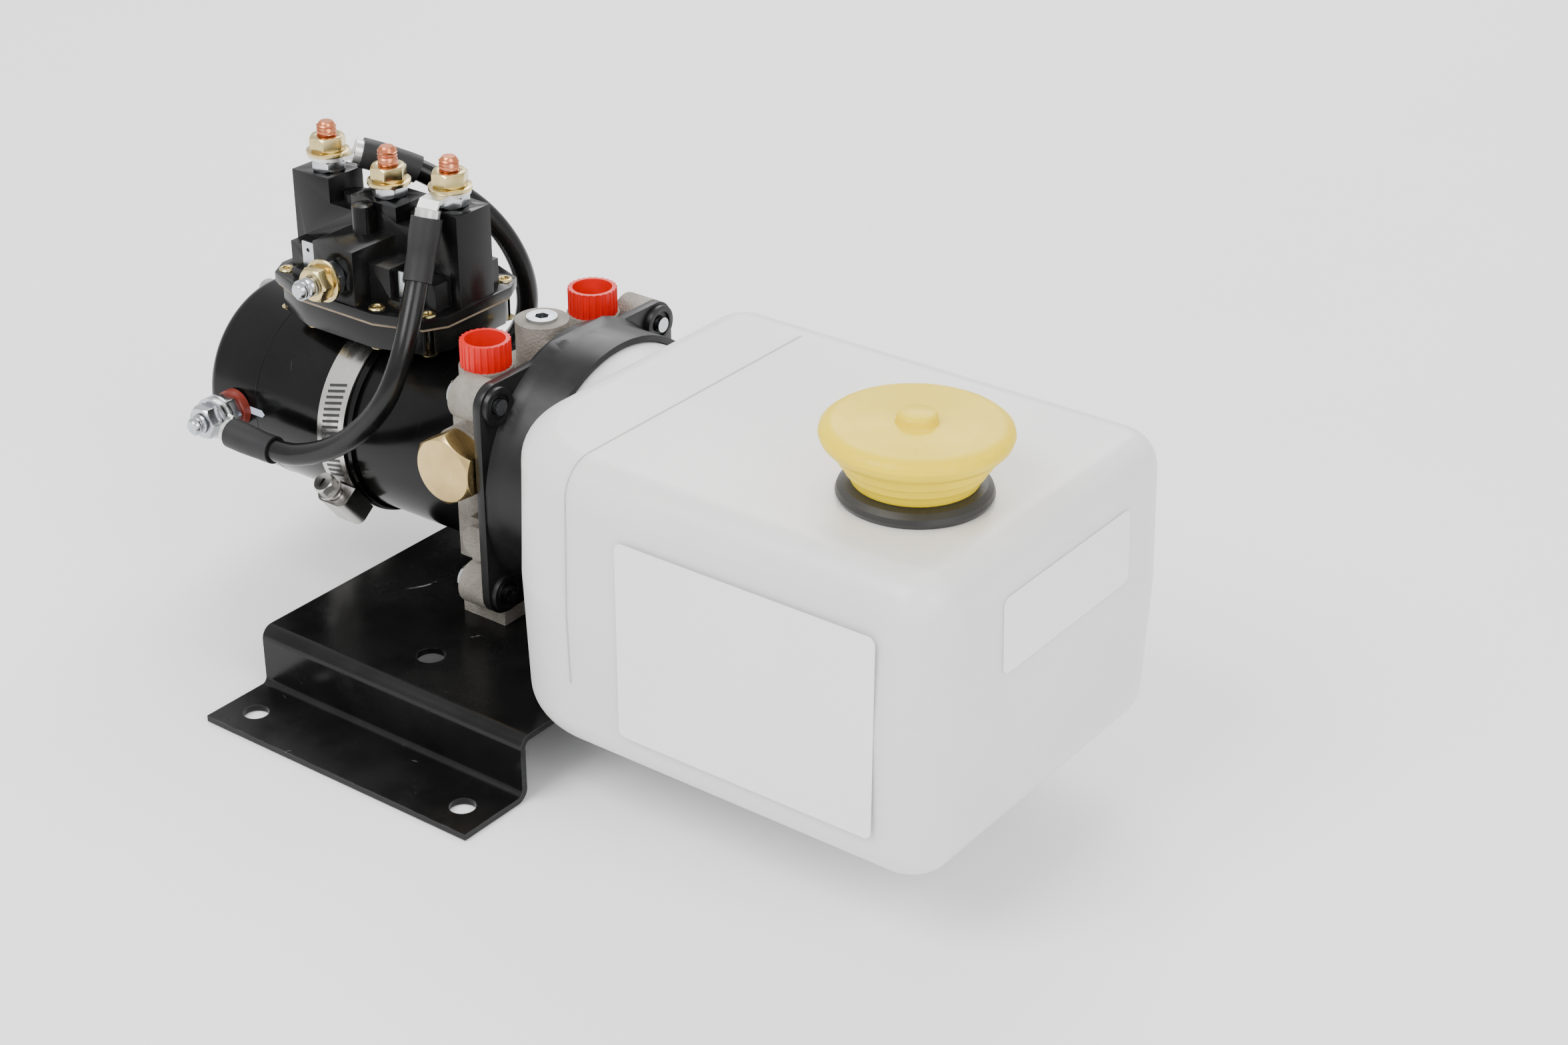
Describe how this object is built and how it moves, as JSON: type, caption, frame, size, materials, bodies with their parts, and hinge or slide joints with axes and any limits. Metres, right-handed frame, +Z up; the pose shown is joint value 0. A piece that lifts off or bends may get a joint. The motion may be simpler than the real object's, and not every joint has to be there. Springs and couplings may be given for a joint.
{
  "type": "hydraulic power unit",
  "caption": "Compact DC hydraulic power unit: black motor with reversing contactor, cast manifold, translucent side reservoir with yellow filler cap, on a bent sheet bracket.",
  "frame": {"origin": "centre of the bracket's four foot holes, on the underside of its feet", "axes": "+X along the motor towards the reservoir, +Z up, -Y the side with the large label"},
  "size_m": [0.4025, 0.272, 0.1897],
  "materials": {
    "bracket_paint": "gloss black, scuffed",
    "casting": "sand cast",
    "brass_plug": "machined",
    "machined_steel": "machined",
    "spring_steel": "drawn wire",
    "plug_red": "moulded",
    "black_plastic": "satin moulded",
    "tank_plastic": "milky, translucent, moulded",
    "zinc_yellow": "yellow zinc plated",
    "zinc_clear": "clear zinc plated",
    "cap_yellow": "moulded",
    "black_rubber": "moulded",
    "label_white": "blank printed film",
    "pump_iron": "machined and cast",
    "motor_paint": "satin black",
    "magnet": "sintered",
    "lamination": "stacked sheet",
    "copper": "bare copper",
    "carbon": "pressed",
    "insulator": "moulded",
    "clamp_steel": "stainless strip",
    "gasket_tan": "pressed fibre",
    "relay_black": "moulded thermoset",
    "cable_rubber": "extruded",
    "sleeve": "shrunk, matt",
    "tinned_lug": "tin plated",
    "strainer_plastic": "moulded"
  },
  "bodies": {
    "chassis": {"mounting_bracket": "bracket_paint", "foot_screws": "zinc_clear", "manifold_body": "casting", "valve_plugs": "brass_plug", "poppet_springs": "spring_steel", "socket_plug": "zinc_clear", "tank_flange": "black_plastic", "flange_screws": "zinc_clear", "neck_seal": "black_rubber", "reservoir_tank": "tank_plastic", "filler_grommet": "black_rubber", "blank_labels": "label_white", "suction_pickup": "strainer_plastic", "return_tube": "strainer_plastic", "pump_housing": "pump_iron", "pump_cover": "pump_iron", "pump_screws": "machined_steel", "shaft_seal": "black_rubber", "drive_bell": "motor_paint", "motor_can": "motor_paint", "end_bell": "motor_paint", "field_magnets": "magnet", "motor_bearings": "machined_steel", "brush_holder": "insulator", "carbon_brushes": "carbon", "through_bolts": "zinc_clear", "clamp_band": "clamp_steel", "contactor_base": "relay_black", "contactor_gasket": "gasket_tan", "contactor_cover": "relay_black", "cover_rivets": "zinc_clear", "power_studs": "copper", "contactor_coils": "copper", "plunger_spring_left": "spring_steel", "plunger_spring_right": "spring_steel", "spade_terminals": "brass_plug", "terminal_studs": "zinc_clear", "terminal_washers": "insulator", "plain_nuts": "zinc_clear", "flange_nuts": "zinc_yellow", "near_cable": "cable_rubber", "far_cable": "cable_rubber", "cable_lugs": "tinned_lug", "shrink_sleeves": "sleeve"},
    "cap": {"filler_cap": "cap_yellow"},
    "front_port_plug": {"port_plug_front": "plug_red"},
    "rear_port_plug": {"port_plug_rear": "plug_red"},
    "rotor": {"armature_core": "lamination", "armature_windings": "copper", "commutator": "copper", "armature_shaft": "machined_steel", "shaft_coupling": "machined_steel", "drive_gear": "machined_steel"},
    "idler": {"idler_gear": "machined_steel"},
    "spool": {"shuttle_spool": "machined_steel"},
    "front_poppet": {"check_poppet_front": "machined_steel"},
    "rear_poppet": {"check_poppet_rear": "machined_steel"},
    "left_plunger": {"plunger_left": "machined_steel"},
    "right_plunger": {"plunger_right": "machined_steel"},
    "clamp_worm": {"clamp_screw": "clamp_steel"}
  },
  "joints": [
    {"name": "cap_lift", "type": "slide", "parent": "chassis", "child": "cap", "axis": [0, 0, 1], "range_m": [0, 0.06]},
    {"name": "front_plug_pull", "type": "slide", "parent": "chassis", "child": "front_port_plug", "axis": [0, 0, 1], "range_m": [0, 0.03]},
    {"name": "rear_plug_pull", "type": "slide", "parent": "chassis", "child": "rear_port_plug", "axis": [0, 0, 1], "range_m": [0, 0.03]},
    {"name": "rotor_spin", "type": "hinge", "parent": "chassis", "child": "rotor", "pos_m": [-0.1, 0, 0.0735], "axis": [1, 0, 0], "continuous": true},
    {"name": "idler_spin", "type": "hinge", "parent": "chassis", "child": "idler", "pos_m": [-0.04, 0, 0.0935], "axis": [1, 0, 0], "continuous": true},
    {"name": "spool_shift", "type": "slide", "parent": "chassis", "child": "spool", "axis": [0, 1, 0], "range_m": [-0.003, 0.003]},
    {"name": "front_poppet_lift", "type": "slide", "parent": "chassis", "child": "front_poppet", "axis": [0, -1, 0], "range_m": [0, 0.0008], "stiffness_N_per_m": 400, "springref_m": -0.002},
    {"name": "rear_poppet_lift", "type": "slide", "parent": "chassis", "child": "rear_poppet", "axis": [0, 1, 0], "range_m": [0, 0.0008], "stiffness_N_per_m": 400, "springref_m": -0.002},
    {"name": "left_plunger_pull", "type": "slide", "parent": "chassis", "child": "left_plunger", "axis": [0, 0, 1], "range_m": [0, 0.0027], "stiffness_N_per_m": 400, "springref_m": -0.002, "deforming": ["plunger_spring_left"]},
    {"name": "right_plunger_pull", "type": "slide", "parent": "chassis", "child": "right_plunger", "axis": [0, 0, 1], "range_m": [0, 0.0027], "stiffness_N_per_m": 400, "springref_m": -0.002, "deforming": ["plunger_spring_right"]},
    {"name": "worm_turn", "type": "hinge", "parent": "chassis", "child": "clamp_worm", "pos_m": [-0.0882, -0.03609, 0.0453], "axis": [0, -0.6157, 0.788], "continuous": true}
  ],
  "couplings": [
    {"joint": "idler_spin", "follows": "rotor_spin", "ratio": -1}
  ]
}
